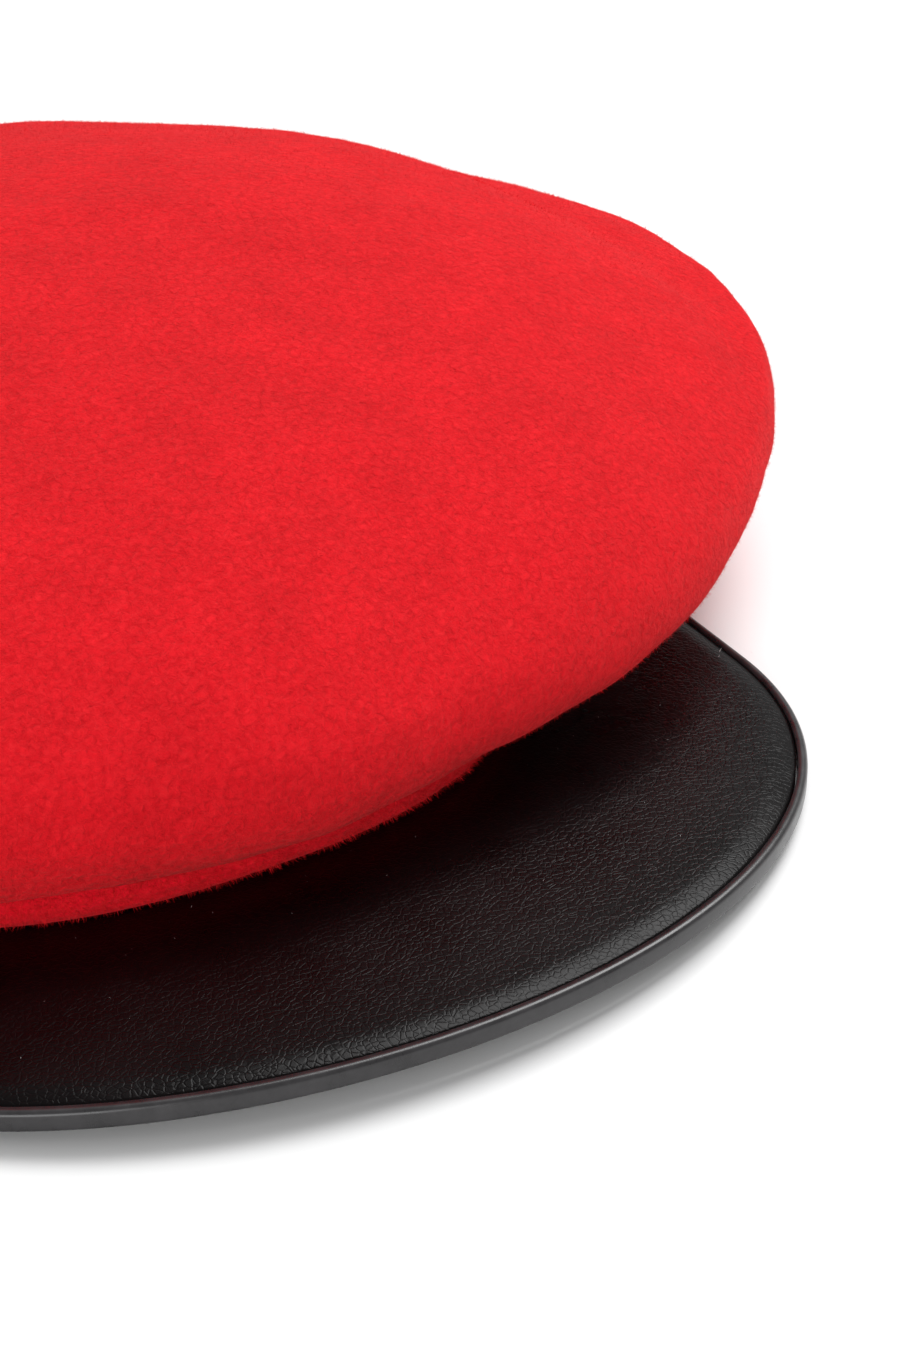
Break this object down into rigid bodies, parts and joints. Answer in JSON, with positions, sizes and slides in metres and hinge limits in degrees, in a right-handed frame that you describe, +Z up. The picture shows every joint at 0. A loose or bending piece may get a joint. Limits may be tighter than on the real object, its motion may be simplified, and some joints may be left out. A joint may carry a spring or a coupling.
{
  "type": "peaked wool beret",
  "caption": "Soft wool-felt beret with a wide flat crown, a felt band round the head opening and a short arched leather peak.",
  "frame": {"origin": "middle of the underside of the bounding box, on the surface that the beret lies on", "axes": "+Z up, +Y from the peak to the back of the head, +X to the wearer's left"},
  "size_m": [0.2932, 0.3032, 0.0682],
  "materials": {
    "crown_felt": "matt wool felt with a short nap",
    "band_felt": "matt wool felt, fuzzy edge",
    "peak_leather": "semi-gloss fine-grained leather",
    "edge_binding": "smooth satin painted edge"
  },
  "bodies": {
    "root": {"crown": "crown_felt", "band": "band_felt", "peak": "peak_leather", "peak_edge": "edge_binding"}
  },
  "joints": []
}
